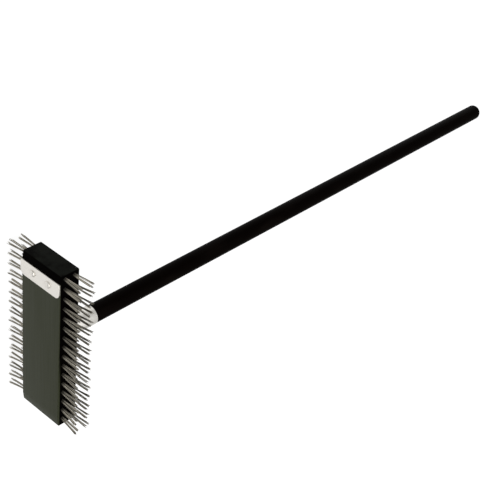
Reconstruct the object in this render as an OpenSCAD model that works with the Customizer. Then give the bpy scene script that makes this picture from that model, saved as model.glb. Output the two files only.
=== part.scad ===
// Two-sided wire scrub brush: a flat hardwood head with wire tufts on both long edges,
// a riveted scraper on its front face, and a long handle that screws into its back face.
//
// Frame: +X runs along the handle from the scraper to the handle's tip, Y runs along the head,
// +Z is up. The brush lies flat on the tips of its lower tufts at Z = 0, and the origin is
// the middle of its bounding box at that height. Millimetres.

/* [Head] */
// Length of the head block, along Y
head_l = 226; // [200:1:280]
// Width of the head block between its two brush faces, along Z
head_w = 67; // [60:1:80]
// Thickness of the head block, along X
head_t = 27; // [26:0.5:32]
// Chamfer and rounding at the two ends of the head block
head_round = 1; // [1:0.1:2]
// Rounding of the two long edges beside the front face
front_round = 1.5; // [1:0.1:2.5]
// Rounding of the two long edges beside the back face
back_round = 0.6; // [0.5:0.1:1.5]
// Rounding of the two corners at the scraper end, seen from the front
corner_round = 2; // [1.5:0.1:4]
// Length of the slope at each end of the front face
slope_l = 11; // [6:0.5:16]
// Depth of that slope at the very end of the head
slope_d = 1.4; // [0.5:0.1:2.2]

/* [Tufts] */
// Tufts in each row
tufts_in_row = 16; // [10:1:18]
// Distance from the head's lower end to the middle of the first tuft
tuft_first = 10.5; // [5.5:0.25:14]
// Distance from the scraper end to the middle of the last tuft
tuft_last = 5.75; // [5.5:0.25:10]
// Distance from the front face to the front row
front_row = 6.75; // [5.25:0.25:7.5]
// Distance between the front row and the rear row
row_gap = 13.5; // [10:0.25:14.25]
// Height of the tufts above the wood
tuft_out = 28.6; // [20:0.2:36]
// Diameter of a tuft at its tip
tuft_tip_d = 8; // [5:0.1:9]
// Diameter of a tuft's drilled hole
hole_d = 5; // [4:0.1:5.2]
// Depth of a tuft's drilled hole
hole_depth = 13; // [10:0.5:14]

/* [Tuft anchors] */
// Thickness of the flat wire that pins each folded tuft
anchor_t = 0.4; // [0.3:0.05:0.6]
// Width of that flat wire, along the hole
anchor_h = 2.2; // [1.5:0.1:3]
// How far each end of an anchor bites into the wall of the hole
anchor_bite = 0.4; // [0.2:0.05:0.6]
// Height of an anchor above the bottom of the hole
anchor_up = 1.2; // [0.8:0.1:2]
// Turn of the anchors from the line of their row, so that each tuft parts along a diagonal
anchor_turn = 45; // [0:5:90]

/* [Scraper] */
// Height of the scraper blade, along Y
blade_h = 20; // [18:0.5:24]
// Thickness of the scraper blade
blade_t = 2; // [1:0.1:3]
// Radius of the blade's two corners towards the middle of the head
blade_low_r = 7; // [2:0.5:9]
// Radius of the blade's two corners at its scraping edge
blade_top_r = 1.5; // [0.5:0.5:4]
// Distance between the two rivets
rivet_gap = 26.6; // [20:0.2:34]
// Diameter of a rivet's domed head
rivet_head_d = 9; // [7:0.5:10]
// Height of a rivet's domed head
rivet_head_h = 2.2; // [1.5:0.1:3]
// Diameter of a rivet's shank
rivet_shank_d = 4; // [3:0.1:4.4]
// Length of a rivet's shank below its head
rivet_shank_l = 20; // [12:1:22]

/* [Handle] */
// Diameter of the handle
handle_d = 24; // [23:0.1:26]
// Distance from the head's back face to the handle's tip
handle_reach = 915; // [600:5:1200]
// Rounding of the handle's tip
tip_round = 8; // [3:0.5:11]
// Length of the handle's taper down to its tenon, where it meets the ferrule
shoulder_l = 2; // [0.5:0.1:3]

/* [Ferrule] */
// Length of the steel ferrule
ferrule_l = 51; // [40:1:70]
// Outside diameter of the ferrule
ferrule_d = 25; // [24.6:0.1:27]
// Wall thickness of the ferrule
ferrule_wall = 0.85; // [0.6:0.05:1]

/* [Thread] */
// Outside diameter of the threaded stud
stud_d = 18.8; // [16:0.1:19]
// Advance of the thread for one turn
thread_pitch = 5.08; // [4:0.01:5.08]
// Turns of thread that hold in the head
thread_turns = 4; // [2:0.5:4]
// Diameter of the stud's plain shank inside the handle
shank_d = 12; // [8:0.5:14]
// Length of the stud's plain shank inside the handle
shank_l = 40; // [25:1:50]
// Length of the head's bore beyond the end of the stud
bore_spare = 0.6; // [0.2:0.1:1]

/* [Hidden] */
$fn = 64;

// A running or sliding gap between round pieces, on the radius
fit_gap = 0.05;
// A gap between flat faces that turn against each other
face_gap = 0.1;
// How far a cut runs past a face
past = 1;

upper = 1;
lower = -1;
front = 0;
rear = 1;

proud = blade_t + rivet_head_h;
front_x = proud - (proud + head_t + handle_reach) / 2;
back_x = front_x + head_t;
tip_x = back_x + handle_reach;
axis_z = tuft_out + head_w / 2;

tuft_pitch = (head_l - tuft_first - tuft_last) / (tufts_in_row - 1);
root_d = hole_d - 2 * fit_gap;
blade_top_y = head_l / 2 - slope_l;
rivet_y = blade_top_y - blade_h / 2;

ferrule_x = back_x + fit_gap;
ferrule_end_x = ferrule_x + ferrule_l;
ferrule_bore_d = ferrule_d - 2 * ferrule_wall;
tenon_x = ferrule_x + ferrule_wall + face_gap;
tenon_d = ferrule_bore_d - 2 * fit_gap;
shoulder_x = ferrule_end_x + face_gap;
stud_out = thread_pitch * thread_turns;
stud_x = back_x - stud_out;
bore_x = stud_x - bore_spare;

// Puts a shape drawn upwards from the XY plane on the handle's axis, pointing along +X from x
module along_handle(x) {
    translate([x, 0, axis_z])
        rotate([0, 90, 0])
            children();
}

// Puts a shape drawn upwards from the wood's surface at every tuft of one row
module at_tufts(row, side) {
    for (i = [0 : tufts_in_row - 1])
        translate([front_x + front_row + row * row_gap,
                   -head_l / 2 + tuft_first + i * tuft_pitch,
                   axis_z + side * head_w / 2])
            rotate([side == upper ? 0 : 180, 0, anchor_turn])
                children();
}

// Puts a shape drawn towards +X from the front face at both rivets
module at_rivets() {
    for (side = [lower, upper])
        translate([front_x, rivet_y, axis_z + side * rivet_gap / 2])
            rotate([0, 90, 0])
                children();
}

// One folded tuft: its root in the hole, and its wires spreading to the tip
module tuft() {
    difference() {
        union() {
            translate([0, 0, -hole_depth])
                cylinder(d = root_d, h = hole_depth);
            cylinder(d1 = root_d, d2 = tuft_tip_d, h = tuft_out);
        }
        translate([-anchor_t / 2 - fit_gap, -hole_d, anchor_up - hole_depth - fit_gap])
            cube([anchor_t + 2 * fit_gap, 2 * hole_d, anchor_h + 2 * fit_gap]);
    }
}

// One flat wire anchor, driven across the bottom of a tuft's hole
module anchor() {
    anchor_l = hole_d + 2 * anchor_bite;
    translate([-anchor_t / 2, -anchor_l / 2, anchor_up - hole_depth])
        cube([anchor_t, anchor_l, anchor_h]);
}

module tuft_row(row, side) {
    color("darkgray")
        at_tufts(row, side)
            tuft();
}

module anchor_row(row, side) {
    color("silver")
        at_tufts(row, side)
            anchor();
}

// A rectangle that stands on the X axis, its two lower and its two upper corners each with their radius
module panel(w, h, low_r, top_r) {
    translate([low_r - w / 2, 0])
        square([w - 2 * low_r, low_r]);
    translate([-w / 2, low_r])
        square([w, h - low_r - top_r]);
    translate([top_r - w / 2, h - top_r])
        square([w - 2 * top_r, top_r]);
    for (side = [-1, 1]) {
        translate([side * (w / 2 - low_r), low_r])
            circle(r = low_r);
        translate([side * (w / 2 - top_r), h - top_r])
            circle(r = top_r);
    }
}

// Half of the block's side view: flat front, a shallow slope at the end, and the flat back
function half_side(end) = [
    [0, end * (head_l / 2 - slope_l)],
    [slope_d, end * (head_l / 2 - head_round)],
    [slope_d + head_round, end * head_l / 2],
    [head_t - head_round, end * head_l / 2],
    [head_t, end * (head_l / 2 - head_round)]];

// The block with all its edges eased, before any hole is drilled
module head_body() {
    lower_half = half_side(-1);
    upper_half = half_side(1);
    translate([front_x, 0, axis_z])
        intersection() {
            linear_extrude(head_w, center = true)
                polygon(concat(upper_half, [for (i = [len(lower_half) - 1 : -1 : 0]) lower_half[i]]));
            translate([0, -head_l / 2, 0])
                rotate([0, 90, 0])
                    linear_extrude(head_t)
                        panel(head_w, head_l, head_round, corner_round);
            rotate([90, 90, 0])
                linear_extrude(head_l, center = true)
                    panel(head_w, head_t, front_round, back_round);
        }
}

module head_block() {
    color([0.16, 0.16, 0.15])
        difference() {
            head_body();
            for (row = [front, rear], side = [lower, upper])
                at_tufts(row, side)
                    translate([0, 0, -hole_depth])
                        cylinder(d = hole_d, h = hole_depth + past);
            along_handle(bore_x)
                cylinder(d = stud_d + 2 * fit_gap, h = back_x - bore_x + past);
            at_rivets()
                translate([0, 0, -past])
                    cylinder(d = rivet_shank_d + 2 * fit_gap, h = rivet_shank_l - blade_t + 2 * past);
        }
}

// The blade, its scraping edge at the top, with its two larger corners towards the middle
module scraper_blade() {
    color("gainsboro")
        difference() {
            translate([front_x, blade_top_y - blade_h, axis_z])
                rotate([0, -90, 0])
                    linear_extrude(blade_t)
                        panel(head_w, blade_h, blade_low_r, blade_top_r);
            at_rivets()
                translate([0, 0, -blade_t - past])
                    cylinder(d = rivet_shank_d + 2 * fit_gap, h = blade_t + 2 * past);
        }
}

// One rivet: a domed head that bears on the blade, and a shank driven into the block
module rivet() {
    dome_r = (pow(rivet_head_d / 2, 2) + pow(rivet_head_h, 2)) / (2 * rivet_head_h);
    translate([0, 0, -blade_t]) {
        intersection() {
            translate([0, 0, dome_r - rivet_head_h])
                sphere(r = dome_r);
            translate([0, 0, -rivet_head_h])
                cylinder(d = 2 * rivet_head_d, h = rivet_head_h);
        }
        cylinder(d = rivet_shank_d, h = rivet_shank_l);
    }
}

module scraper_rivets() {
    color("silver")
        at_rivets()
            rivet();
}

// A drawn steel cup over the handle's end, with a hole in its floor for the threaded stud
module ferrule() {
    color("lightgray")
        difference() {
            along_handle(ferrule_x)
                cylinder(d = ferrule_d, h = ferrule_l);
            along_handle(ferrule_x + ferrule_wall)
                cylinder(d = ferrule_bore_d, h = ferrule_l);
            along_handle(ferrule_x - past)
                cylinder(d = stud_d + 2 * face_gap, h = ferrule_wall + 2 * past);
        }
}

// The threaded stud at its outside diameter, and its plain shank inside the handle
module handle_stud() {
    color("darkgray") {
        along_handle(stud_x)
            cylinder(d = stud_d, h = tenon_x - stud_x);
        along_handle(tenon_x)
            cylinder(d = shank_d, h = shank_l);
    }
}

// The tip: a cylinder whose end edge is rounded
module handle_tip() {
    rotate_extrude()
        translate([handle_d / 2 - tip_round, 0])
            intersection() {
                circle(r = tip_round);
                square(tip_round);
            }
    cylinder(d = handle_d - 2 * tip_round, h = tip_round);
}

module handle() {
    color([0.05, 0.05, 0.05])
        difference() {
            union() {
                along_handle(tenon_x)
                    cylinder(d = tenon_d, h = shoulder_x - tenon_x);
                along_handle(shoulder_x)
                    cylinder(d1 = tenon_d, d2 = handle_d, h = shoulder_l);
                along_handle(shoulder_x + shoulder_l)
                    cylinder(d = handle_d, h = tip_x - tip_round - shoulder_x - shoulder_l);
                along_handle(tip_x - tip_round)
                    handle_tip();
            }
            along_handle(tenon_x - past)
                cylinder(d = shank_d + 2 * fit_gap, h = shank_l + past + face_gap);
        }
}

head_block();
tuft_row(front, upper);  // upper_tufts_front
tuft_row(rear, upper);  // upper_tufts_rear
tuft_row(front, lower);  // lower_tufts_front
tuft_row(rear, lower);  // lower_tufts_rear
anchor_row(front, upper);  // upper_anchors_front
anchor_row(rear, upper);  // upper_anchors_rear
anchor_row(front, lower);  // lower_anchors_front
anchor_row(rear, lower);  // lower_anchors_rear
scraper_blade();
scraper_rivets();
ferrule();
handle_stud();
handle();
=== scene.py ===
"""Looks of a long-handled, two-sided wire scrub brush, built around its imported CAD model.

The row frame has +X along the handle from the scraper to the tip, +Y along the head towards its
scraper end, and +Z up. The brush lies on the tips of its lower tufts at Z = 0. Lengths are metres.
"""
import logging
import math
import random
from collections.abc import Callable, Iterator
from contextlib import contextmanager
from dataclasses import dataclass, field
from enum import Enum
from typing import ClassVar

import bmesh
import bpy
from mathutils import Matrix, Vector


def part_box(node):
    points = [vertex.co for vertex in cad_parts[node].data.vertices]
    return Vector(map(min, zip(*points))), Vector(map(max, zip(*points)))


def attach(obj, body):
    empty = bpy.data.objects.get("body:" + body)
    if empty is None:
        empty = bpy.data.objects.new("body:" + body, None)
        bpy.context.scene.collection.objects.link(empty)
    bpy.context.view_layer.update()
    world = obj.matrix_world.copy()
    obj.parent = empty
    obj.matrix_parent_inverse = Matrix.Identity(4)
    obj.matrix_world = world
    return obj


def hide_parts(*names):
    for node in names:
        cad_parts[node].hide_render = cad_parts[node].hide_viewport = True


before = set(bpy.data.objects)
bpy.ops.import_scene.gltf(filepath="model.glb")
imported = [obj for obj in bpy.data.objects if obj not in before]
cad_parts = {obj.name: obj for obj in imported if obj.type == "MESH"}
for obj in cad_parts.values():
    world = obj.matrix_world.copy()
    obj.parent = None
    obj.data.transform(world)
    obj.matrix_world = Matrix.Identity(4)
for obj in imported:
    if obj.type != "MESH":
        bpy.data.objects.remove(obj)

LOG = logging.getLogger("scrub_brush")
MM = 0.001
CLEARANCE = 0.05 * MM

Colour = tuple[float, float, float]
Waves = tuple[float, float, float]
Piece = bpy.types.Object


# ---------------------------------------------------------------------------------------------
# The bench: short names for the modelling operators
# ---------------------------------------------------------------------------------------------


class Element(Enum):
    """What a click picks in edit mode."""

    EDGE = "EDGE"
    FACE = "FACE"


class Picker:
    """Selects parts of a mesh in edit mode by their place or normal."""

    def __init__(self, piece: Piece) -> None:
        """Remembers the piece that is being edited.

        Args:
            piece: the object in edit mode.
        """
        self.piece = piece

    def _select(self, element: Element, wanted: Callable[..., bool]) -> None:
        """Selects what `wanted` accepts, and nothing else.

        Args:
            element: edges or faces.
            wanted: a test on a bmesh element.
        """
        bpy.ops.mesh.select_mode(type=element.value)
        bpy.ops.mesh.select_all(action="DESELECT")
        mesh = bmesh.from_edit_mesh(self.piece.data)
        parts = {Element.EDGE: mesh.edges, Element.FACE: mesh.faces}
        for part in parts[element]:
            if wanted(part):
                part.select_set(True)
        mesh.select_flush_mode()
        bmesh.update_edit_mesh(self.piece.data)

    def faces(self, wanted: Callable[[Vector, Vector], bool]) -> None:
        """Selects faces by their middle and normal.

        Args:
            wanted: a test on a face's middle and normal.
        """
        self._select(Element.FACE, lambda f: wanted(f.calc_center_median(), f.normal))

    def edges(self, wanted: Callable[[Vector, Vector], bool]) -> None:
        """Selects edges by their two ends.

        Args:
            wanted: a test on the two ends of an edge.
        """
        self._select(Element.EDGE, lambda e: wanted(e.verts[0].co, e.verts[1].co))


def deselect() -> None:
    """Leaves nothing selected."""
    bpy.ops.object.select_all(action="DESELECT")


def make_active(piece: Piece) -> None:
    """Selects one piece alone and makes it the active one.

    Args:
        piece: the object to work on.
    """
    deselect()
    piece.select_set(True)
    bpy.context.view_layer.objects.active = piece


@contextmanager
def editing(piece: Piece) -> Iterator[Picker]:
    """Opens a piece in edit mode with nothing selected, and closes it again.

    Args:
        piece: the object to edit.

    Returns:
        A context that gives a picker for the piece.
    """
    make_active(piece)
    bpy.ops.object.mode_set(mode="EDIT")
    bpy.ops.mesh.select_all(action="DESELECT")
    yield Picker(piece)
    bpy.ops.object.mode_set(mode="OBJECT")


def place_in_mesh(piece: Piece) -> Piece:
    """Moves a piece's place, turn and size from its object into its mesh.

    Args:
        piece: the object to settle.

    Returns:
        The same piece.
    """
    make_active(piece)
    bpy.ops.object.transform_apply(location=True, rotation=True, scale=True)
    return piece


def new_block(name: str, low: Vector, high: Vector) -> Piece:
    """Adds a box between two corners.

    Args:
        name: the piece's name.
        low: its lowest corner.
        high: its highest corner.

    Returns:
        The new piece.
    """
    deselect()
    size = high - low
    bpy.ops.mesh.primitive_cube_add(size=1, location=(low + high) / 2, scale=size)
    piece = bpy.context.object
    piece.name = name
    return place_in_mesh(piece)


def new_rod(name: str, radius: float, start: Vector, end: Vector, sides: int) -> Piece:
    """Adds a round rod between two points.

    Args:
        name: the piece's name.
        radius: its radius.
        start: the middle of its first end.
        end: the middle of its other end.
        sides: how many flats stand for the circle.

    Returns:
        The new piece.
    """
    deselect()
    along = end - start
    turn = along.to_track_quat("Z", "Y").to_euler()
    bpy.ops.mesh.primitive_cylinder_add(
        vertices=sides, radius=radius, depth=along.length, location=(start + end) / 2, rotation=turn
    )
    piece = bpy.context.object
    piece.name = name
    return place_in_mesh(piece)


def apply_modifier(piece: Piece, kind: str, **settings: object) -> None:
    """Adds a modifier to a piece and applies it.

    Args:
        piece: the object to change.
        kind: Blender's name of the modifier.
        settings: the modifier's own settings.
    """
    make_active(piece)
    modifier = piece.modifiers.new(kind.title(), kind)
    for name, value in settings.items():
        setattr(modifier, name, value)
    bpy.ops.object.modifier_apply(modifier=modifier.name)


def cut(piece: Piece, cutter: Piece) -> None:
    """Cuts one piece with another, and removes the cutter.

    Args:
        piece: the object that keeps what is left.
        cutter: the object that takes its shape away.
    """
    apply_modifier(piece, "BOOLEAN", object=cutter, operation="DIFFERENCE", solver="EXACT")
    bpy.data.objects.remove(cutter, do_unlink=True)


def joined(name: str, pieces: list[Piece]) -> Piece:
    """Joins several pieces into one.

    Args:
        name: the joined piece's name.
        pieces: the objects to join.

    Returns:
        The joined piece.
    """
    make_active(pieces[0])
    for piece in pieces[1:]:
        piece.select_set(True)
    bpy.ops.object.join()
    result = bpy.context.object
    result.name = name
    return result


def copy_of(piece: Piece, matrix: Matrix) -> Piece:
    """Copies a piece, with its own mesh, to another place.

    Args:
        piece: the object to copy.
        matrix: where the copy goes.

    Returns:
        The copy, with its place in its mesh.
    """
    twin = piece.copy()
    twin.data = piece.data.copy()
    twin.data.transform(matrix)
    bpy.context.scene.collection.objects.link(twin)
    return twin


def extrude(offset: Vector) -> None:
    """Extrudes the selected faces by an offset.

    Args:
        offset: how far the new faces move.
    """
    bpy.ops.mesh.extrude_region_move(TRANSFORM_OT_translate={"value": offset})


def resize(factor: float, centre: Vector, axes: tuple[bool, bool, bool]) -> None:
    """Scales what is selected about a point, along some of the axes.

    Args:
        factor: the new size over the old one.
        centre: the point that stays in place.
        axes: which axes are scaled.
    """
    value = [factor if axis else 1.0 for axis in axes]
    bpy.ops.transform.resize(value=value, center_override=centre)


def smooth(piece: Piece, angle: float = 35) -> None:
    """Shades a piece smooth, but keeps its sharper edges.

    Args:
        piece: the object to shade.
        angle: the angle in degrees above which an edge stays sharp.
    """
    make_active(piece)
    bpy.ops.object.shade_smooth_by_angle(angle=math.radians(angle))


# ---------------------------------------------------------------------------------------------
# Shader maths
# ---------------------------------------------------------------------------------------------


class Number:
    """A number that varies over a surface. Python's operators on it add Math nodes."""

    def __init__(self, graph: "Graph", socket: bpy.types.NodeSocket) -> None:
        """Wraps one output socket.

        Args:
            graph: the node tree that the socket is in.
            socket: the output that carries the number.
        """
        self.graph = graph
        self.socket = socket

    def _math(self, operation: str, *values: "Number | float") -> "Number":
        """Adds one Math node.

        Args:
            operation: Blender's name of the operation.
            values: what the node works on, in order.

        Returns:
            The node's result.
        """
        inputs = dict(enumerate(values))
        return self.graph.number("ShaderNodeMath", {"operation": operation}, inputs)

    def __add__(self, other: "Number | float") -> "Number":
        """self + other."""
        return self._math("ADD", self, other)

    def __radd__(self, other: float) -> "Number":
        """other + self."""
        return self._math("ADD", other, self)

    def __sub__(self, other: "Number | float") -> "Number":
        """self - other."""
        return self._math("SUBTRACT", self, other)

    def __rsub__(self, other: float) -> "Number":
        """other - self."""
        return self._math("SUBTRACT", other, self)

    def __mul__(self, other: "Number | float") -> "Number":
        """self * other."""
        return self._math("MULTIPLY", self, other)

    def __rmul__(self, other: float) -> "Number":
        """other * self."""
        return self._math("MULTIPLY", other, self)

    def __abs__(self) -> "Number":
        """The distance from zero."""
        return self._math("ABSOLUTE", self)

    def least(self, other: "Number | float") -> "Number":
        """The smaller of two numbers."""
        return self._math("MINIMUM", self, other)

    def most(self, other: "Number | float") -> "Number":
        """The larger of two numbers."""
        return self._math("MAXIMUM", self, other)

    def fade(self, none: float, full: float) -> "Number":
        """A smooth mask.

        Args:
            none: the value at which the mask is 0.
            full: the value at which the mask is 1.

        Returns:
            The mask, from 0 to 1.
        """
        settings = {"interpolation_type": "SMOOTHSTEP"}
        rising = none < full
        low, high = (none, full) if rising else (full, none)
        inputs = {"Value": self, "From Min": low, "From Max": high}
        mask = self.graph.number("ShaderNodeMapRange", settings, inputs)
        return mask if rising else 1 - mask


class Graph:
    """The node tree of one finish."""

    def __init__(self, name: str) -> None:
        """Makes an empty material.

        Args:
            name: the material's name.
        """
        self.material = bpy.data.materials.new(name)
        self.material.use_nodes = True
        self.tree = self.material.node_tree
        self.tree.nodes.clear()
        self.output = self.tree.nodes.new("ShaderNodeOutputMaterial")
        self.places = self.node("ShaderNodeTexCoord").outputs["Object"]

    def node(
        self, kind: str, settings: dict[str, object] | None = None, inputs: dict | None = None
    ) -> bpy.types.Node:
        """Adds one node.

        Args:
            kind: Blender's name of the node.
            settings: the node's own settings, set before its sockets.
            inputs: a value or a link for each socket, by name or number.

        Returns:
            The new node.
        """
        node = self.tree.nodes.new(kind)
        for name, value in (settings or {}).items():
            setattr(node, name, value)
        for key, value in (inputs or {}).items():
            link = value.socket if isinstance(value, Number) else value
            if isinstance(link, bpy.types.NodeSocket):
                self.tree.links.new(link, node.inputs[key])
            else:
                node.inputs[key].default_value = value
        return node

    def number(self, kind: str, settings: dict[str, object], inputs: dict) -> Number:
        """Adds one node and wraps its first output.

        Args:
            kind: Blender's name of the node.
            settings: the node's own settings.
            inputs: a value or a link for each socket.

        Returns:
            The node's first output.
        """
        return Number(self, self.node(kind, settings, inputs).outputs[0])

    def axes(self) -> tuple[Number, Number, Number]:
        """The place on the piece, as three numbers in metres."""
        split = self.node("ShaderNodeSeparateXYZ", inputs={"Vector": self.places})
        return tuple(Number(self, socket) for socket in split.outputs)

    def attribute(self, name: str) -> Number:
        """A number that the piece's mesh carries.

        Args:
            name: the attribute's name.

        Returns:
            Its value.
        """
        node = self.node("ShaderNodeAttribute", {"attribute_type": "GEOMETRY", "attribute_name": name})
        return Number(self, node.outputs["Fac"])

    def grain(self, per_metre: Waves, detail: float = 3.0, rough: float = 0.55) -> Number:
        """A noise that can be finer along one axis than another.

        Args:
            per_metre: how many waves the noise has in a metre along each axis.
            detail: how many finer layers it holds.
            rough: how strong those layers are.

        Returns:
            The noise, around 0.5.
        """
        mapping = self.node("ShaderNodeMapping", inputs={"Vector": self.places, "Scale": per_metre})
        inputs = {"Vector": mapping.outputs[0], "Scale": 1.0, "Detail": detail, "Roughness": rough}
        return self.number("ShaderNodeTexNoise", {}, inputs)

    def blend(self, mask: Number, first: object, second: object) -> bpy.types.NodeSocket:
        """Mixes two colours.

        Args:
            mask: 0 gives the first colour and 1 the second.
            first: a colour, or the output of another node.
            second: a colour, or the output of another node.

        Returns:
            The mixed colour.
        """
        colours = [c if isinstance(c, bpy.types.NodeSocket) else (*c, 1.0) for c in (first, second)]
        inputs = {"Factor": mask, 6: colours[0], 7: colours[1]}
        mix = self.node("ShaderNodeMix", {"data_type": "RGBA"}, inputs)
        return mix.outputs[2]

    def bump(self, height: Number, distance: float, strength: float) -> bpy.types.NodeSocket:
        """Turns a height into a normal.

        Args:
            height: the height, from 0 to 1.
            distance: how high 1 stands, in metres.
            strength: how much of the bump shows.

        Returns:
            The bumped normal.
        """
        inputs = {"Height": height, "Distance": distance, "Strength": strength}
        return self.node("ShaderNodeBump", inputs=inputs).outputs[0]

    def surface(self, **inputs: object) -> bpy.types.NodeSocket:
        """Adds the main shader.

        Args:
            inputs: a value or link for each socket, with underscores for spaces in its name.

        Returns:
            The shader's output.
        """
        named = {key.replace("_", " "): value for key, value in inputs.items()}
        return self.node("ShaderNodeBsdfPrincipled", inputs=named).outputs[0]

    def finish(self, shader: bpy.types.NodeSocket) -> bpy.types.Material:
        """Links the last shader to the material's output.

        Args:
            shader: the shader to show.

        Returns:
            The finished material.
        """
        self.tree.links.new(shader, self.output.inputs["Surface"])
        return self.material


# ---------------------------------------------------------------------------------------------
# Sizes that the pieces share, read from the frame
# ---------------------------------------------------------------------------------------------


class Side(Enum):
    """The two brush faces of the head, by the way their tufts point along Z."""

    UPPER = 1
    LOWER = -1

    @property
    def word(self) -> str:
        """The side's name as the nodes spell it."""
        return self.name.lower()


class Row(Enum):
    """The two rows of tufts on one brush face, and the way each leans along X."""

    FRONT = -1
    REAR = 1

    @property
    def word(self) -> str:
        """The row's name as the nodes spell it."""
        return self.name.lower()


@dataclass(frozen=True)
class Layout:
    """Where the brush's main lines lie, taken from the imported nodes."""

    front: float
    back: float
    axis: float
    half_length: float
    half_width: float
    tuft_out: float
    tufts_in_row: int = 16

    @classmethod
    def from_frame(cls) -> "Layout":
        """Reads the main lines from the boxes of the CAD nodes."""
        low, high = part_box("head_block")
        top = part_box("upper_tufts_front")[1].z
        return cls(
            front=low.x,
            back=high.x,
            axis=(low.z + high.z) / 2,
            half_length=(high.y - low.y) / 2,
            half_width=(high.z - low.z) / 2,
            tuft_out=top - high.z,
        )

    def tuft_roots(self, row: Row, side: Side) -> list[Vector]:
        """The middle of each tuft of a row, on the wood's surface.

        Args:
            row: which of the two rows.
            side: which brush face.

        Returns:
            One point for each tuft, from the lower end of the head to the scraper end.
        """
        low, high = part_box(f"{side.word}_tufts_{row.word}")
        tip_radius = (high.x - low.x) / 2
        first = low.y + tip_radius
        pitch = (high.y - low.y - 2 * tip_radius) / (self.tufts_in_row - 1)
        surface = self.axis + side.value * self.half_width
        x = (low.x + high.x) / 2
        return [Vector((x, first + i * pitch, surface)) for i in range(self.tufts_in_row)]

    def on_axis(self, x: float) -> Vector:
        """A point on the handle's axis."""
        return Vector((x, 0, self.axis))


# ---------------------------------------------------------------------------------------------
# Finishes
# ---------------------------------------------------------------------------------------------


@dataclass(frozen=True)
class PaintedWood:
    """Charcoal paint over the head's hardwood, with light painted in: a lighter tone and a stronger coat
    on the flats, a painted mid tone on the ends, and matt black elsewhere, which on the strip above the
    scraper stands in for shade.
    """

    layout: Layout
    # Painted light: the flats' lighter tone stands in for the light that the front catches.
    lit_face_tone: Colour = (0.0185, 0.0215, 0.0075)
    matt: Colour = (0.0009, 0.0006, 0.0005)
    # Painted light: the ends' mid tone stands in for the light that they catch.
    lit_end_tone: Colour = (0.0066, 0.0072, 0.0057)
    bare: Colour = (0.075, 0.068, 0.055)
    face_depth: float = 0.45 * MM
    edge_width: float = 1.1 * MM
    # Painted shade: the strip above the scraper stays matt black, left out of the painted light.
    shaded_strip: float = 11 * MM
    sheen: float = 0.37
    end_sheen: float = 0.03

    def material(self) -> bpy.types.Material:
        """Builds the paint, with grain along the head and thin rubbed edges."""
        graph = Graph("painted_wood")
        x, y, z = graph.axes()
        streaks = graph.grain((420, 9, 420), detail=4)
        pores = graph.grain((2600, 60, 2600), detail=2)
        mottle = graph.grain((70, 45, 70), detail=2)
        lit_faces = self._lit_faces(x, y)
        end = (self.layout.half_length - abs(y)).fade(2 * self.face_depth, self.face_depth)
        worn = self._edges(x, y, z) * graph.grain((260, 160, 260)).fade(0.5, 0.66)
        # Painted light: the flats take the lighter tone, and the rest keeps the near-black paint.
        tone = graph.blend(lit_faces, self.matt, self.lit_face_tone)
        # Painted light: the ends take their own mottled mid tone.
        tone = graph.blend(end * mottle.fade(0.25, 0.6), tone, self.lit_end_tone)
        tone = graph.blend(worn * 0.12, tone, self.bare)
        shader = graph.surface(
            Base_Color=tone,
            Roughness=0.55 + mottle * 0.16,
            Specular_IOR_Level=0.006,
            Coat_Weight=lit_faces * (self.sheen + (streaks - 0.5) * 0.2) + end * self.end_sheen,
            Coat_Roughness=0.4,
            Normal=graph.bump(pores * 0.6 + streaks * 0.4, 0.05 * MM, 0.35),
        )
        return graph.finish(shader)

    def _lit_faces(self, x: Number, y: Number) -> Number:
        """A mask of the faces painted lighter as painted light: the front below the scraper's strip, its
        lower slope and the back.

        Args:
            x: the place along the handle.
            y: the place along the head.

        Returns:
            The mask, 1 on the faces with painted light.
        """
        behind_front = x - self.layout.front
        strip = self.layout.half_length - self.shaded_strip
        front = behind_front.fade(2 * self.face_depth, self.face_depth)
        front = front * y.fade(strip + self.face_depth, strip - self.face_depth)
        lower_slope = behind_front.fade(6 * self.face_depth, 4 * self.face_depth)
        lower_slope = lower_slope * y.fade(0, -0.5 * self.layout.half_length)
        back = (self.layout.back - x).fade(2 * self.face_depth, self.face_depth)
        return front.most(lower_slope).most(back)

    def _edges(self, x: Number, y: Number, z: Number) -> Number:
        """A mask of the block's edges, where two of its faces are near.

        Args:
            x: the place along the handle.
            y: the place along the head.
            z: the height.

        Returns:
            The mask, 1 on the edges.
        """
        lines = self.layout
        deep_x = (x - lines.front).least(lines.back - x)
        deep_y = lines.half_length - abs(y)
        deep_z = lines.half_width - abs(z - lines.axis)
        nearest = deep_x.least(deep_y).least(deep_z)
        farthest = deep_x.most(deep_y).most(deep_z)
        second = deep_x + deep_y + deep_z - nearest - farthest
        return second.fade(self.edge_width, 0.3 * self.edge_width)


@dataclass(frozen=True)
class Lacquer:
    """Black lacquer over the handle's turned wood."""

    colour: Colour = (0.0012, 0.0006, 0.0004)
    dusty: Colour = (0.0034, 0.0024, 0.0019)

    def material(self) -> bpy.types.Material:
        """Builds the lacquer, with faint grain along the handle and small scuffs."""
        graph = Graph("lacquered_wood")
        grain = graph.grain((14, 620, 620), detail=4)
        patches = graph.grain((16, 60, 60), detail=2)
        scuffs = graph.grain((90, 1500, 1500), detail=2).fade(0.63, 0.72)
        dust = patches.fade(0.4, 0.75) * 0.6 + scuffs * 0.3
        shader = graph.surface(
            Base_Color=graph.blend(dust, self.colour, self.dusty),
            Roughness=0.34 + patches * 0.14 + scuffs * 0.10,
            Specular_IOR_Level=0.009,
            Normal=graph.bump(grain, 0.04 * MM, 0.22),
        )
        return graph.finish(shader)


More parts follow.
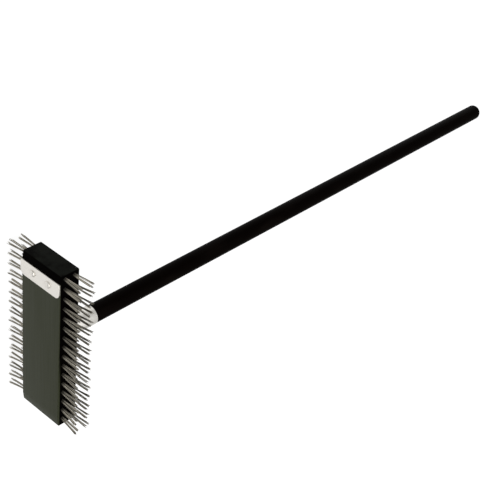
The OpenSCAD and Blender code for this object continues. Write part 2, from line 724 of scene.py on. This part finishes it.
@dataclass(frozen=True)
class Steel:
    """Bare or plated steel whose fine lines run one way."""

    name: str
    colour: Colour
    stained: Colour
    roughness: float
    lines: Waves
    metallic: float = 1.0
    depth: float = 0.02 * MM

    def material(self) -> bpy.types.Material:
        """Builds the steel: fine lines, soft clouds in the polish and a little staining."""
        graph = Graph(self.name)
        lines = graph.grain(self.lines, detail=3)
        clouds = graph.grain((60, 60, 60), detail=3)
        stain = clouds.fade(0.52, 0.8) * 0.5 + lines.fade(0.45, 0.8) * 0.25
        shader = graph.surface(
            Base_Color=graph.blend(stain, self.colour, self.stained),
            Metallic=self.metallic,
            Roughness=self.roughness + (lines - 0.5) * 0.18 + (clouds - 0.5) * 0.12,
            Normal=graph.bump(lines, self.depth, 0.3),
        )
        return graph.finish(shader)


@dataclass(frozen=True)
class BristleSteel:
    """Tempered flat wire: warm grey, some wires brighter than others, painted darker near the wood as
    shade and rougher there.
    """

    layout: Layout
    bright: Colour = (0.50, 0.465, 0.385)
    dull: Colour = (0.11, 0.10, 0.078)
    # Painted shade: the dark tone that the wires take near the wood.
    root_shade_tone: Colour = (0.035, 0.030, 0.024)
    root_shade_reach: float = 6 * MM
    metallic: float = 0.85

    def material(self) -> bpy.types.Material:
        """Builds the wire's finish."""
        graph = Graph("bristle_wire")
        z = graph.axes()[2]
        shade = graph.attribute(WireTufts.shade_name)
        out = abs(z - self.layout.axis) - self.layout.half_width
        # Painted shade at the roots, fading out within a few millimetres of the wood.
        root_shade = out.fade(self.root_shade_reach, 0)
        mottle = graph.grain((700, 700, 120), detail=2)
        tone = graph.blend(shade, self.dull, self.bright)
        shader = graph.surface(
            Base_Color=graph.blend(root_shade * 0.75, tone, self.root_shade_tone),
            Metallic=self.metallic,
            Roughness=0.32 + root_shade * 0.3 + mottle * 0.2,
            Normal=graph.bump(mottle, 0.03 * MM, 0.3),
        )
        return graph.finish(shader)


@dataclass(frozen=True)
class PaleFloor:
    """A plain pale floor with a faint unevenness, lit a little from below like a light table."""

    colour: Colour = (0.15, 0.15, 0.15)
    shaded: Colour = (0.13, 0.13, 0.13)
    glow: float = 0.90

    def material(self) -> bpy.types.Material:
        """Builds the floor's finish."""
        graph = Graph("pale_floor")
        clouds = graph.grain((2, 2, 2))
        shader = graph.surface(
            Base_Color=graph.blend(clouds, self.colour, self.shaded),
            Roughness=0.9,
            Specular_IOR_Level=0.1,
            Emission_Color=(1, 1, 1, 1),
            Emission_Strength=self.glow,
        )
        return graph.finish(shader)


# ---------------------------------------------------------------------------------------------
# The head
# ---------------------------------------------------------------------------------------------


def fit(piece: Piece, material: bpy.types.Material, body: str, nodes: list[str]) -> None:
    """Dresses a piece, sets it on its body, and lets it stand for its CAD nodes.

    Args:
        piece: the finished object.
        material: its finish.
        body: the CAD body that it moves with.
        nodes: the CAD nodes that it replaces.
    """
    piece.data.materials.clear()
    piece.data.materials.append(material)
    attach(piece, body)
    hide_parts(*nodes)
    LOG.info("%s: %d faces, moves with %s", piece.name, len(piece.data.polygons), body)


@dataclass
class HeadBlock:
    """The wooden block: sloped front ends, eased edges, and every hole that the real one has."""

    layout: Layout
    slope_length: float = 11 * MM
    slope_depth: float = 1.4 * MM
    end_round: float = 1 * MM
    front_round: float = 1.5 * MM
    back_round: float = 0.6 * MM
    corner_round: float = 2 * MM
    bend_round: float = 2 * MM
    hole_radius: float = 2.5 * MM
    hole_depth: float = 13 * MM
    countersink: float = 0.35 * MM
    past: float = 1 * MM
    hole_sides: int = 20

    def build(self) -> Piece:
        """Shapes the block and drills it.

        Returns:
            The finished block.
        """
        low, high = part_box("head_block")
        block = new_block("painted_block", low, high)
        self._slope_front(block, low, high)
        self._round_edges(block, low, high)
        cut(block, self._tuft_drill())
        cut(block, self._stud_drill())
        cut(block, self._rivet_drill())
        smooth(block, 30)
        return block

    def _slope_front(self, block: Piece, low: Vector, high: Vector) -> None:
        """Slopes both ends of the front face.

        Args:
            block: the plain block.
            low: its lowest corner.
            high: its highest corner.
        """
        with editing(block) as pick:
            for end, corner in ((-1, low), (1, high)):
                bpy.ops.mesh.select_all(action="SELECT")
                start = Vector((0, corner.y - end * self.slope_length, 0))
                bpy.ops.mesh.bisect(plane_co=start, plane_no=(0, 1, 0))
                edge = Vector((low.x, corner.y, 0))
                pick.edges(
                    lambda a, b: all((Vector((p.x, p.y, 0)) - edge).length < self.past for p in (a, b))
                )
                bpy.ops.transform.translate(value=(self.slope_depth, 0, 0))

    def _round_edges(self, block: Piece, low: Vector, high: Vector) -> None:
        """Rounds every edge of the block, each kind with its own radius.

        Args:
            block: the sloped block.
            low: its lowest corner before it was sloped.
            high: its highest corner.
        """
        behind = (low.x + high.x) / 2
        kinds = (
            (self.front_round, lambda a, b: a.z == b.z and max(a.x, b.x) < behind and a.y != b.y),
            (self.back_round, lambda a, b: a.z == b.z and min(a.x, b.x) > behind and a.y != b.y),
            (self.end_round, lambda a, b: a.z != b.z and abs(a.y) > self.layout.half_length - self.past),
            (self.end_round, lambda a, b: a.x != b.x and a.y == b.y == low.y),
            (self.corner_round, lambda a, b: a.x != b.x and a.y == b.y == high.y),
            (self.bend_round, lambda a, b: a.z != b.z and a.x < behind and abs(a.y) < high.y - self.past),
        )
        with editing(block) as pick:
            for radius, wanted in kinds:
                pick.edges(wanted)
                bpy.ops.transform.edge_bevelweight(value=radius / self.corner_round)
        apply_modifier(block, "BEVEL", width=self.corner_round, segments=4, limit_method="WEIGHT")

    def _tuft_drill(self) -> Piece:
        """All the tuft drills of both brush faces, as one cutter.

        Returns:
            The cutter.
        """
        top = Vector((0, 0, -self.countersink))
        drill = new_rod("drill", self.hole_radius, Vector((0, 0, -self.hole_depth)), top, self.hole_sides)
        with editing(drill) as pick:
            pick.faces(lambda middle, normal: normal.z > 0.9)
            extrude(Vector((0, 0, self.countersink)))
            flare = 1 + self.countersink / self.hole_radius
            resize(flare, Vector((0, 0, 0)), (True, True, False))
            extrude(Vector((0, 0, self.past)))
        places = []
        for side in Side:
            turn = Matrix.Identity(4) if side is Side.UPPER else Matrix.Rotation(math.pi, 4, "X")
            for row in Row:
                places += [Matrix.Translation(root) @ turn for root in self.layout.tuft_roots(row, side)]
        copies = [copy_of(drill, place) for place in places]
        bpy.data.objects.remove(drill, do_unlink=True)
        return joined("tuft_drill", copies)

    def _stud_drill(self) -> Piece:
        """The bore that the handle's stud screws into, with a chamfered mouth.

        Returns:
            The cutter.
        """
        low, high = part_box("handle_stud")
        radius = (high.z - low.z) / 2 + CLEARANCE
        mouth = 0.8 * MM
        start = self.layout.on_axis(low.x - 0.6 * MM)
        drill = new_rod("stud_drill", radius, start, self.layout.on_axis(self.layout.back - mouth), 64)
        with editing(drill) as pick:
            pick.faces(lambda middle, normal: normal.x > 0.9)
            extrude(Vector((mouth, 0, 0)))
            resize(1 + mouth / radius, self.layout.on_axis(self.layout.back), (False, True, True))
            extrude(Vector((self.past, 0, 0)))
        return drill

    def _rivet_drill(self) -> Piece:
        """The two holes for the scraper's rivets.

        Returns:
            The cutter.
        """
        shanks = ScraperRivets(self.layout)
        drills = []
        for place in shanks.places():
            start = Vector((self.layout.front - self.past, place.y, place.z))
            end = start + Vector((shanks.length, 0, 0))
            drills.append(new_rod("rivet_drill", shanks.shank_radius + CLEARANCE, start, end, 24))
        return joined("rivet_drill", drills)


@dataclass
class ScraperBlade:
    """The sheet-steel scraper, with round corners, a ground top edge and two rivet holes."""

    layout: Layout
    low_corner: float = 7 * MM
    top_corner: float = 1.5 * MM
    ground: float = 0.8 * MM
    burr: float = 0.22 * MM
    drill_reach: float = 5 * MM

    def build(self) -> Piece:
        """Shapes the blade.

        Returns:
            The finished blade.
        """
        low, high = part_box("scraper_blade")
        blade = new_block("scraper_plate", low, high)
        middle = (low + high) / 2
        with editing(blade) as pick:
            for corner, radius, segments in (
                (low.y, self.low_corner, 10),
                (high.y, self.top_corner, 4),
            ):
                pick.edges(
                    lambda a, b: a.y == b.y and a.z == b.z and abs(a.y - corner) < self.burr
                )
                bpy.ops.mesh.bevel(offset=radius, segments=segments, affect="EDGES")
            pick.edges(
                lambda a, b: min(a.y, b.y) > high.y - self.burr and max(a.x, b.x) < middle.x
            )
            bpy.ops.mesh.bevel(offset=self.ground, segments=1, affect="EDGES")
        rivets = ScraperRivets(self.layout)
        reach = Vector((self.drill_reach, 0, 0))
        cutters = [
            new_rod("blade_drill", rivets.shank_radius + CLEARANCE, place - reach, place + reach, 24)
            for place in rivets.places()
        ]
        cut(blade, joined("blade_drill", cutters))
        apply_modifier(
            blade, "BEVEL", width=self.burr, segments=2, limit_method="ANGLE", angle_limit=math.radians(40)
        )
        smooth(blade, 30)
        return blade


@dataclass
class ScraperRivets:
    """The two domed rivets that hold the scraper."""

    layout: Layout
    shank_radius: float = 2 * MM
    length: float = 20 * MM
    steps: int = 6
    sides: int = 40
    rim: float = 0.25 * MM

    def places(self) -> list[Vector]:
        """The middle of each rivet's head, on the blade's outer face."""
        low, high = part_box("scraper_rivets")
        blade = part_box("scraper_blade")[0].x
        radius = (high.y - low.y) / 2
        y = (low.y + high.y) / 2
        return [Vector((blade, y, low.z + radius)), Vector((blade, y, high.z - radius))]

    def build(self) -> Piece:
        """Turns both rivets.

        Returns:
            The two rivets as one piece.
        """
        low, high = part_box("scraper_rivets")
        radius = (high.y - low.y) / 2
        rivets = []
        for place in self.places():
            rivets.append(self._rivet(place, radius, place.x - low.x))
        return joined("rivets", rivets)

    def _rivet(self, place: Vector, radius: float, height: float) -> Piece:
        """Turns one rivet.

        Args:
            place: the middle of its head on the blade.
            radius: the head's radius.
            height: the head's height.

        Returns:
            The rivet.
        """
        rivet = new_rod("rivet", radius, place, place - Vector((self.rim, 0, 0)), self.sides)
        with editing(rivet) as pick:
            pick.faces(lambda middle, normal: normal.x < -0.9)
            size, level = 1.0, self.rim
            for step in range(1, self.steps + 1):
                angle = step / self.steps * math.pi / 2
                next_size = max(math.cos(angle), 0.03)
                next_level = self.rim + (height - self.rim) * math.sin(angle)
                extrude(Vector((level - next_level, 0, 0)))
                middle = Vector((place.x - next_level, place.y, place.z))
                resize(next_size / size, middle, (False, True, True))
                size, level = next_size, next_level
            pick.faces(lambda middle, normal: normal.x > 0.9)
            bpy.ops.mesh.inset(thickness=radius - self.shank_radius)
            extrude(Vector((self.length - self.shank_radius, 0, 0)))
            extrude(Vector((self.shank_radius, 0, 0)))
            end = Vector((place.x + self.length, place.y, place.z))
            resize(0.45, end, (False, True, True))
        smooth(rivet, 40)
        return rivet


@dataclass(frozen=True)
class Comb:
    """How far the tips of one brush face lean along the head, at its lower end, middle and scraper end."""

    lower_end: float
    middle: float
    scraper_end: float

    def lean(self, along: float) -> float:
        """The lean of one tuft's tip.

        Args:
            along: the tuft's place, from -1 at the lower end to 1 at the scraper end.

        Returns:
            The lean towards the scraper end.
        """
        slope = (self.scraper_end - self.lower_end) / 2
        sag = (self.scraper_end + self.lower_end) / 2 - self.middle
        return self.middle + slope * along + sag * along ** 2


@dataclass
class WireTufts:
    """The tufts: flat wires folded round a slanted anchor in each hole, and parted into two prongs."""

    shade_name: ClassVar[str] = "wire_shade"

    layout: Layout
    wire_width: float = 1.2 * MM
    wire_thickness: float = 0.36 * MM
    fold_height: float = -11.1 * MM
    layers: tuple[float, ...] = (0.45 * MM, 0.85 * MM, 1.25 * MM, 1.65 * MM)
    columns: tuple[float, ...] = (-1.15 * MM, 0.0, 1.15 * MM)
    anchor_turn: float = math.radians(45)
    splay: float = 0.4
    parting: float = 0.75 * MM
    fanning: float = 0.55
    wander: float = 0.32 * MM
    curl: float = 0.5 * MM
    uneven: float = 3.4 * MM
    row_lean: float = 1.5 * MM
    tuft_lean: float = 0.8 * MM
    upper_comb: Comb = Comb(-1.5 * MM, 1.8 * MM, 0.6 * MM)
    lower_comb: Comb = Comb(-3.6 * MM, -2.1 * MM, -0.6 * MM)
    variants: int = 8
    leg_segments: int = 4
    fold_segments: int = 4
    dice: random.Random = field(default_factory=lambda: random.Random(11))

    def build(self) -> dict[tuple[Row, Side], Piece]:
        """Makes every tuft, one piece for each row.

        Returns:
            The pieces, by row and side.
        """
        folds = [self._folded_wire(layer) for layer in self.layers]
        tufts = [self._tuft(folds, number) for number in range(self.variants)]
        rows = {}
        for side in Side:
            for row in Row:
                rows[row, side] = self._row(tufts, row, side)
        for spare in folds + tufts:
            bpy.data.objects.remove(spare, do_unlink=True)
        return rows

    def _folded_wire(self, reach: float) -> Piece:
        """One wire, folded in half: down, round the anchor, and up again.

        Args:
            reach: how far each leg stands from the tuft's middle.

        Returns:
            The wire, with its middle at the origin and the wood's surface at Z = 0.
        """
        low = Vector((-reach - self.wire_thickness / 2, -self.wire_width / 2, 0))
        high = Vector((-reach + self.wire_thickness / 2, self.wire_width / 2, self.layout.tuft_out))
        wire = new_block("folded_wire", low, high)
        step = self.layout.tuft_out / self.leg_segments
        with editing(wire) as pick:
            for number in range(1, self.leg_segments):
                bpy.ops.mesh.select_all(action="SELECT")
                bpy.ops.mesh.bisect(plane_co=(0, 0, number * step), plane_no=(0, 0, 1))
            pick.faces(lambda middle, normal: normal.z < -0.9)
            extrude(Vector((0, 0, self.fold_height)))
            bpy.ops.mesh.spin(
                steps=self.fold_segments, angle=math.pi, center=(0, 0, self.fold_height), axis=(0, -1, 0)
            )
            extrude(Vector((0, 0, -self.fold_height)))
            for _ in range(self.leg_segments):
                extrude(Vector((0, 0, step)))
            bpy.ops.mesh.select_all(action="SELECT")
            bpy.ops.mesh.remove_doubles(threshold=0.001 * MM)
            bpy.ops.mesh.normals_make_consistent(inside=False)
        wire.data.attributes.new(self.shade_name, "FLOAT", "POINT")
        return wire

    def _tuft(self, folds: list[Piece], number: int) -> Piece:
        """One tuft of folded wires, each leg splayed its own way.

        Args:
            folds: the folded wires, one for each layer.
            number: which variant this is.

        Returns:
            The tuft at the origin.
        """
        wires = []
        parting = self.dice.uniform(0.3, 1.6) * self.parting
        for fold, layer in zip(folds, self.layers):
            aside = parting + layer * self.fanning
            for column in self.columns:
                wire = copy_of(fold, Matrix.Translation((0, column, 0)))
                for leg in (-1, 1):
                    self._splay(wire, Vector((leg * aside, column * self.splay, 0)), leg)
                wires.append(wire)
        return joined(f"tuft_{number}", wires)

    def _splay(self, wire: Piece, outwards: Vector, leg: int) -> None:
        """Bends one leg of a wire outwards, cuts it to its own length and gives it its own shade.

        Args:
            wire: the folded wire to change.
            outwards: how far its place in the tuft pushes its tip aside.
            leg: -1 or 1, the side of the fold that the leg stands on.
        """
        dice = self.dice
        shift = outwards + Vector((dice.uniform(-1, 1), dice.uniform(-1, 1), 0)) * self.wander
        hook = Vector((dice.uniform(-1, 1), dice.uniform(-1, 1), 0)) * self.curl
        short = dice.random() ** 2 * self.uneven
        shade = dice.random() ** 1.6
        shades = wire.data.attributes[self.shade_name].data
        for corner in wire.data.vertices:
            if corner.co.x * leg > 0:
                shades[corner.index].value = shade
                share = max(corner.co.z, 0) / self.layout.tuft_out
                corner.co += shift * share + hook * share * (1 - share) * 2
                corner.co.z -= short * share

    def _row(self, tufts: list[Piece], row: Row, side: Side) -> Piece:
        """One row of tufts.

        Args:
            tufts: the tufts to copy from.
            row: which row.
            side: which brush face.

        Returns:
            The row as one piece.
        """
        slant = Matrix.Rotation(self.anchor_turn, 4, "Z")
        turn = Matrix.Identity(4) if side is Side.UPPER else Matrix.Rotation(math.pi, 4, "X")
        comb = self.upper_comb if side is Side.UPPER else self.lower_comb
        copies = []
        roots = self.layout.tuft_roots(row, side)
        for number, root in enumerate(roots):
            about = Matrix.Rotation(self.dice.choice((0, math.pi)), 4, "Z")
            tuft = copy_of(self.dice.choice(tufts), slant @ about @ turn)
            along = 2 * number / (len(roots) - 1) - 1
            self._lean(tuft, side, Vector((row.value * self.row_lean, comb.lean(along), 0)))
            tuft.data.transform(Matrix.Translation(root))
            copies.append(tuft)
        piece = joined(f"{side.word}_wires_{row.word}", copies)
        smooth(piece, 30)
        return piece

    def _lean(self, tuft: Piece, side: Side, lean: Vector) -> None:
        """Leans a whole tuft, each one a little its own way.

        Args:
            tuft: the tuft to change, at the origin.
            side: the brush face that it stands on.
            lean: how far the tips of its neighbours lean.
        """
        dice = self.dice
        own = Vector((dice.uniform(-1, 1), dice.uniform(-1, 1), 0)) * self.tuft_lean
        for corner in tuft.data.vertices:
            share = max(corner.co.z * side.value, 0) / self.layout.tuft_out
            corner.co += (lean + own) * share * (0.6 + 0.4 * share)


# ---------------------------------------------------------------------------------------------
# The handle
# ---------------------------------------------------------------------------------------------


@dataclass
class Ferrule:
    """The drawn steel cup over the handle's end, with a rolled front edge."""

    layout: Layout
    wall: float = 0.85 * MM
    sides: int = 72
    lip: float = 0.35 * MM

    def build(self) -> Piece:
        """Turns the ferrule.

        Returns:
            The finished ferrule.
        """
        low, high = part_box("ferrule")
        stud_low, stud_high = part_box("handle_stud")
        radius = (high.z - low.z) / 2
        stud = (stud_high.z - stud_low.z) / 2 + 0.1 * MM
        start, end = self.layout.on_axis(low.x), self.layout.on_axis(high.x)
        sleeve = new_rod("ferrule_sleeve", radius, start, end, self.sides)
        with editing(sleeve) as pick:
            pick.faces(lambda middle, normal: normal.x > 0.9)
            bpy.ops.mesh.inset(thickness=self.wall)
            extrude(Vector((low.x + self.wall - high.x, 0, 0)))
            bpy.ops.mesh.inset(thickness=radius - self.wall - stud)
            bpy.ops.mesh.delete(type="FACE")
            pick.faces(lambda middle, normal: normal.x < -0.9)
            bpy.ops.mesh.inset(thickness=radius - stud)
            bpy.ops.mesh.delete(type="FACE")
            pick.edges(lambda a, b: self._on_hole(a, stud, low.x) and self._on_hole(b, stud, low.x))
            bpy.ops.mesh.bridge_edge_loops()
        apply_modifier(
            sleeve, "BEVEL", width=self.lip, segments=3, limit_method="ANGLE", angle_limit=math.radians(50)
        )
        smooth(sleeve, 40)
        return sleeve

    def _on_hole(self, corner: Vector, radius: float, x: float) -> bool:
        """Whether a corner lies on the rim of the floor's hole.

        Args:
            corner: the corner's place.
            radius: the hole's radius.
            x: the floor's place along the handle.

        Returns:
            True if it does.
        """
        out = math.hypot(corner.y, corner.z - self.layout.axis)
        return abs(out - radius) < CLEARANCE and corner.x < x + 2 * self.wall


@dataclass
class Handle:
    """The turned handle: a tenon inside the ferrule, a small shoulder, and a rounded tip."""

    layout: Layout
    tip_round: float = 8 * MM
    shoulder: float = 2 * MM
    shoulder_steps: int = 4
    gap: float = 0.15 * MM
    bore_radius: float = 6.05 * MM
    bore_depth: float = 40.1 * MM
    sides: int = 96

    def build(self) -> Piece:
        """Turns the handle.

        Returns:
            The finished handle.
        """
        low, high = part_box("handle")
        ferrule_low, ferrule_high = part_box("ferrule")
        radius = (high.z - low.z) / 2
        tenon = (ferrule_high.z - ferrule_low.z) / 2 - Ferrule(self.layout).wall - CLEARANCE
        shoulder_x = ferrule_high.x + self.gap - CLEARANCE
        start, end = self.layout.on_axis(shoulder_x + self.shoulder), self.layout.on_axis(high.x)
        handle = new_rod("lacquered_handle", radius, start, end, self.sides)
        with editing(handle) as pick:
            pick.edges(lambda a, b: min(a.x, b.x) > high.x - self.gap)
            bpy.ops.mesh.bevel(offset=self.tip_round, segments=12, affect="EDGES")
            pick.faces(lambda middle, normal: normal.x < -0.95)
            self._round_shoulder(start.x, radius, tenon)
            extrude(Vector((low.x - shoulder_x, 0, 0)))
            bpy.ops.mesh.inset(thickness=tenon - self.bore_radius)
            extrude(Vector((self.bore_depth, 0, 0)))
        smooth(handle, 30)
        return handle

    def _round_shoulder(self, start: float, radius: float, tenon: float) -> None:
        """Turns the handle down to its tenon in a quarter of an ellipse.

        Args:
            start: where the handle leaves its full radius.
            radius: that full radius.
            tenon: the tenon's radius.
        """
        size, level = radius, 0.0
        for step in range(1, self.shoulder_steps + 1):
            angle = step / self.shoulder_steps * math.pi / 2
            next_size = tenon + (radius - tenon) * math.cos(angle)
            next_level = self.shoulder * math.sin(angle)
            extrude(Vector((level - next_level, 0, 0)))
            resize(next_size / size, self.layout.on_axis(start - next_level), (False, True, True))
            size, level = next_size, next_level


@dataclass
class Stud:
    """The steel stud: a trapezoidal right-hand thread on a core, and a plain shank in the handle."""

    layout: Layout
    pitch: float = 5.08 * MM
    depth: float = 2.54 * MM
    crest: float = 0.37
    flank: float = 0.13
    shank_radius: float = 6 * MM
    steps_per_turn: int = 40
    run_out: float = 0.35

    def build(self) -> Piece:
        """Cuts the thread and joins it to its core and shank.

        Returns:
            The finished stud.
        """
        low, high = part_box("handle_stud")
        radius = (high.z - low.z) / 2
        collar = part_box("handle")[0].x
        core = new_rod(
            "stud_core", radius - self.depth, self.layout.on_axis(low.x), self.layout.on_axis(collar), 48
        )
        with editing(core) as pick:
            pick.edges(lambda a, b: max(a.x, b.x) < low.x + 0.1 * MM)
            bpy.ops.mesh.bevel(offset=1.2 * MM, segments=2, affect="EDGES")
            pick.faces(lambda middle, normal: normal.x > 0.9)
            bpy.ops.mesh.inset(thickness=radius - self.depth - self.shank_radius)
            extrude(Vector((high.x - collar, 0, 0)))
        smooth(core, 40)
        ridge = self._ridge(low.x, self.layout.back - 0.4 * MM, radius)
        return joined("threaded_stud", [core, ridge])

    def _ridge(self, start: float, end: float, radius: float) -> Piece:
        """The thread's ridge, fading into the core at both ends.

        Args:
            start: where the ridge begins along the handle.
            end: where it ends.
            radius: the radius at its crest.

        Returns:
            The ridge.
        """
        turns = (end - start) / self.pitch - 1
        length = self.pitch * turns
        steps = round(self.steps_per_turn * turns)
        root_half = (self.crest / 2 + self.flank) * self.pitch
        crest_half = self.crest / 2 * self.pitch
        sunk = radius - self.depth - 0.3 * MM
        low = Vector((-root_half, -0.1 * MM, sunk))
        high = Vector((root_half, 0.1 * MM, radius))
        ridge = new_block("thread_ridge", low, high)
        with editing(ridge) as pick:
            pick.faces(lambda middle, normal: normal.y > -0.9)
            bpy.ops.mesh.delete(type="FACE")
            pick.edges(lambda a, b: min(a.z, b.z) > radius - 0.1 * MM)
            resize(crest_half / root_half, Vector((0, 0, radius)), (True, False, False))
            bpy.ops.mesh.select_all(action="SELECT")
            bpy.ops.transform.translate(value=(0, 0.1 * MM, 0))
        apply_modifier(
            ridge, "SCREW", axis="X", angle=2 * math.pi * turns, screw_offset=length,
            steps=steps, render_steps=steps, use_merge_vertices=False,
        )
        with editing(ridge) as pick:
            bpy.ops.mesh.select_all(action="SELECT")
            bpy.ops.mesh.normals_make_consistent(inside=False)
        for corner in ridge.data.vertices:
            out = math.hypot(corner.co.y, corner.co.z)
            angle = math.atan2(corner.co.y, corner.co.z)
            share = (corner.co.x + root_half) / (length + 2 * root_half)
            fade = min(1, share * turns / self.run_out, (1 - share) * turns / self.run_out)
            out = sunk + (out - sunk) * max(fade, 0)
            corner.co.y, corner.co.z = out * math.sin(angle), out * math.cos(angle)
        ridge.data.transform(Matrix.Translation(self.layout.on_axis(start + root_half)))
        smooth(ridge, 30)
        return ridge


# ---------------------------------------------------------------------------------------------
# Studio
# ---------------------------------------------------------------------------------------------


@dataclass(frozen=True)
class Viewpoint:
    """Where the camera stands, from the point where the handle's axis meets the front face."""

    layout: Layout
    offset: tuple[float, float, float] = (-0.6516, 0.8664, 0.7914)
    forward: tuple[float, float, float] = (0.64892, -0.57202, -0.50170)
    up: tuple[float, float, float] = (0.36503, 0.81260, -0.45435)
    lens: float = 81.26
    sensor: float = 36

    def build(self) -> None:
        """Makes the camera and gives it to the scene."""
        data = bpy.data.cameras.new("camera")
        data.lens = self.lens
        data.sensor_width = self.sensor
        data.clip_start, data.clip_end = 0.05, 100
        camera = bpy.data.objects.new("camera", data)
        bpy.context.scene.collection.objects.link(camera)
        back = -Vector(self.forward).normalized()
        right = Vector(self.up).cross(back).normalized()
        turn = Matrix((right, back.cross(right), back)).transposed()
        place = self.layout.on_axis(self.layout.front) + Vector(self.offset)
        camera.matrix_world = Matrix.Translation(place) @ turn.to_4x4()
        bpy.context.scene.camera = camera


@dataclass(frozen=True)
class Softbox:
    """One large, soft, white light that faces the brush."""

    name: str
    place: tuple[float, float, float]
    size: float
    watts: float

    def build(self, target: Vector) -> None:
        """Hangs the light.

        Args:
            target: the point that it faces.
        """
        data = bpy.data.lights.new(self.name, "AREA")
        data.shape = "SQUARE"
        data.size = self.size
        data.energy = self.watts
        light = bpy.data.objects.new(self.name, data)
        bpy.context.scene.collection.objects.link(light)
        light.location = self.place
        light.rotation_euler = (Vector(self.place) - target).to_track_quat("Z", "Y").to_euler()


@dataclass(frozen=True)
class Studio:
    """A pale floor under one huge soft light, with a fainter glow all round."""

    floor_half: float = 14.0
    sky_seen: float = 1.0
    sky_light: float = 0.4
    softboxes: tuple[Softbox, ...] = (Softbox("overhead", (-2.5, 0.0, 6.0), 10.0, 700),)

    def build(self) -> None:
        """Lays the floor, hangs the lights and sets the sky."""
        for box in self.softboxes:
            box.build(Vector((box.place[0], box.place[1], 0)))
        deselect()
        bpy.ops.mesh.primitive_plane_add(size=2 * self.floor_half)
        floor = bpy.context.object
        floor.name = "floor"
        floor.data.materials.append(PaleFloor().material())
        self._sky()
        bpy.context.scene.view_settings.view_transform = "Standard"

    def _sky(self) -> None:
        """A sky that looks pale behind the floor, but lights the brush only faintly."""
        world = bpy.data.worlds.new("sky")
        world.use_nodes = True
        tree = world.node_tree
        tree.nodes.clear()
        output = tree.nodes.new("ShaderNodeOutputWorld")
        mix = tree.nodes.new("ShaderNodeMixShader")
        path = tree.nodes.new("ShaderNodeLightPath")
        tree.links.new(path.outputs["Is Camera Ray"], mix.inputs[0])
        for socket, strength in ((1, self.sky_light), (2, self.sky_seen)):
            sky = tree.nodes.new("ShaderNodeBackground")
            sky.inputs["Color"].default_value = (1, 1, 1, 1)
            sky.inputs["Strength"].default_value = strength
            tree.links.new(sky.outputs[0], mix.inputs[socket])
        tree.links.new(mix.outputs[0], output.inputs["Surface"])
        bpy.context.scene.world = world


# ---------------------------------------------------------------------------------------------
# The whole brush
# ---------------------------------------------------------------------------------------------


@dataclass
class ScrubBrush:
    """The whole brush: builds each piece, dresses it, and sets it on its body."""

    layout: Layout

    def build_head(self) -> None:
        """Builds everything that stays with the head."""
        satin, stained = (0.70, 0.675, 0.63), (0.56, 0.535, 0.495)
        plate = Steel("scraper_steel", satin, stained, 0.36, (2600, 2600, 22))
        rivet = Steel("rivet_steel", satin, stained, 0.46, (900, 900, 900))
        fit(HeadBlock(self.layout).build(), PaintedWood(self.layout).material(), "head",
            ["head_block"])
        fit(ScraperBlade(self.layout).build(), plate.material(), "head", ["scraper_blade"])
        fit(ScraperRivets(self.layout).build(), rivet.material(), "head", ["scraper_rivets"])
        wire = BristleSteel(self.layout).material()
        for (row, side), piece in WireTufts(self.layout).build().items():
            fit(piece, wire, "head", [f"{side.word}_tufts_{row.word}"])

    def dress_anchors(self) -> None:
        """Gives the CAD anchors, which stay as they are, a drawn-wire finish."""
        drawn = Steel("anchor_steel", (0.62, 0.61, 0.58), (0.40, 0.38, 0.34), 0.4, (1500, 60, 1500))
        steel = drawn.material()
        for side in Side:
            for row in Row:
                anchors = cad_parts[f"{side.word}_anchors_{row.word}"]
                anchors.data.materials.clear()
                anchors.data.materials.append(steel)

    def build_handle(self) -> None:
        """Builds the ferrule, the stud and the handle."""
        zinc = Steel(
            "ferrule_steel", (0.74, 0.72, 0.675), (0.58, 0.56, 0.52), 0.42, (1700, 30, 30), metallic=0.8
        )
        bolt = Steel("stud_steel", (0.70, 0.69, 0.66), (0.48, 0.46, 0.42), 0.34, (1200, 200, 200))
        fit(Ferrule(self.layout).build(), zinc.material(), "ferrule", ["ferrule"])
        fit(Stud(self.layout).build(), bolt.material(), "handle", ["handle_stud"])
        fit(Handle(self.layout).build(), Lacquer().material(), "handle", ["handle"])


def main() -> None:
    """Builds the scene round the frame."""
    logging.basicConfig(level=logging.INFO, format="%(name)s: %(message)s")
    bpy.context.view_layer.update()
    deselect()
    layout = Layout.from_frame()
    Viewpoint(layout).build()
    Studio().build()
    brush = ScrubBrush(layout)
    brush.build_head()
    brush.dress_anchors()
    brush.build_handle()


if __name__ == "__main__":
    main()
